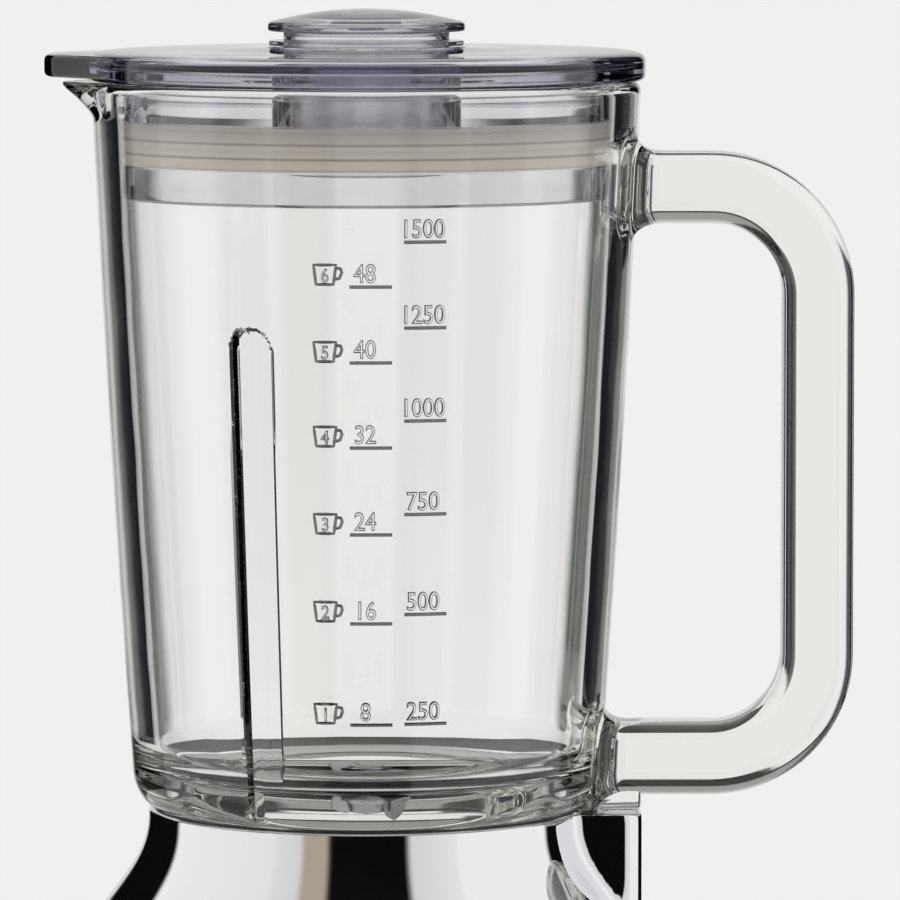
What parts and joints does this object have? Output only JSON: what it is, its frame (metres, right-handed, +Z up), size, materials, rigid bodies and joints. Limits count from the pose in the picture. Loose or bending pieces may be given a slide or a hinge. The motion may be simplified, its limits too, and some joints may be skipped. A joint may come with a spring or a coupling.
{
  "type": "countertop blender",
  "caption": "Tall table blender: round pressed-glass jug with loop handle and spout, clear lid with filler cap, chromed bell-shaped motor base with dial knob and push button.",
  "frame": {"origin": "on the drive axis, on the table plane under the feet; the flat underside of the bottom cover is 2 mm above it", "axes": "+Z up along the drive axis, -Y towards the front with the dial, +X towards the handle"},
  "size_m": [0.2189, 0.2167, 0.3745],
  "materials": {
    "glass": "pressed soda-lime glass, fire polished",
    "clear_plastic": "clear moulded plastic with a faint grey-violet tint",
    "silicone": "pale moulded silicone",
    "chrome": "bright chrome plate on a drawn shell",
    "black_plastic": "fine-textured moulded plastic",
    "rubber": "matt moulded rubber",
    "steel": "ground stainless steel",
    "zinc_plate": "zinc-plated pressing",
    "laminations": "stacked electrical steel",
    "copper": "enamelled copper wire and bars",
    "bronze": "sintered bronze and brass",
    "carbon": "pressed carbon",
    "nylon": "natural moulded nylon",
    "circuit_board": "green solder mask",
    "satin_plate": "satin aluminium"
  },
  "bodies": {
    "base": {"chrome_housing": "chrome", "drip_well": "black_plastic", "bottom_cover": "black_plastic", "cover_screw_rear_right": "steel", "cover_screw_rear_left": "steel", "cover_screw_front_left": "steel", "cover_screw_front_right": "steel", "foot_rear_right": "rubber", "foot_rear_left": "rubber", "foot_front_left": "rubber", "foot_front_right": "rubber", "motor_top_bracket": "zinc_plate", "motor_bottom_bracket": "zinc_plate", "motor_bolt_1": "steel", "motor_bolt_2": "steel", "motor_mount_1": "rubber", "motor_mount_2": "rubber", "motor_mount_3": "rubber", "motor_mount_4": "rubber", "stator_core": "laminations", "field_coil_left": "copper", "field_coil_right": "copper", "upper_bearing": "steel", "lower_bearing": "steel", "brush_holder_front": "bronze", "brush_holder_rear": "bronze", "carbon_brush_front": "carbon", "carbon_brush_rear": "carbon", "control_board": "circuit_board", "speed_switch": "black_plastic", "pulse_switch": "black_plastic", "interlock_switch": "black_plastic", "interlock_spring": "steel", "pulse_spring": "steel", "dial_plate": "satin_plate", "cord_gland": "rubber"},
    "rotor": {"motor_shaft": "steel", "rotor_core": "laminations", "commutator": "copper", "cooling_fan": "black_plastic", "drive_coupler": "nylon"},
    "knob": {"speed_knob": "black_plastic", "knob_spindle": "steel"},
    "button": {"pulse_button": "black_plastic"},
    "safety_pin": {"interlock_pin": "nylon"},
    "jug": {"glass_jug": "glass", "blade_seal": "silicone", "blade_carrier": "black_plastic", "spindle_bush": "bronze", "spindle_seal": "rubber", "collar_ring": "black_plastic"},
    "blades": {"blade_spindle": "steel", "lower_blade": "steel", "upper_blade": "steel", "blade_washer": "steel", "blade_nut": "steel", "drive_socket": "rubber"},
    "lid": {"lid": "clear_plastic", "lid_gasket": "silicone"},
    "filler": {"filler_cap": "clear_plastic"}
  },
  "joints": [
    {"name": "jug_lift", "type": "slide", "parent": "base", "child": "jug", "axis": [0, 0, 1], "range_m": [0, 0.06]},
    {"name": "lid_lift", "type": "slide", "parent": "jug", "child": "lid", "axis": [0, 0, 1], "range_m": [0, 0.045]},
    {"name": "cap_lift", "type": "slide", "parent": "lid", "child": "filler", "axis": [0, 0, 1], "range_m": [0, 0.04]},
    {"name": "motor_spin", "type": "hinge", "parent": "base", "child": "rotor", "pos_m": [0, 0, 0.08], "axis": [0, 0, 1], "continuous": true},
    {"name": "blade_spin", "type": "hinge", "parent": "jug", "child": "blades", "pos_m": [0, 0, 0.16], "axis": [0, 0, 1], "continuous": true},
    {"name": "knob_turn", "type": "hinge", "parent": "base", "child": "knob", "pos_m": [0, -0.0985, 0.064], "axis": [0, 1, 0], "range_deg": [0, 150]},
    {"name": "pulse_press", "type": "slide", "parent": "base", "child": "button", "axis": [0, 1, 0], "range_m": [0, 0.003], "stiffness_N_per_m": 250, "springref_m": -0.002, "deforming": ["pulse_spring"]},
    {"name": "interlock_rise", "type": "slide", "parent": "base", "child": "safety_pin", "axis": [0, 0, 1], "range_m": [0, 0.003], "deforming": ["interlock_spring"]}
  ],
  "couplings": [
    {"joint": "blade_spin", "follows": "motor_spin", "ratio": 1},
    {"joint": "interlock_rise", "follows": "jug_lift", "ratio": 0.05}
  ]
}
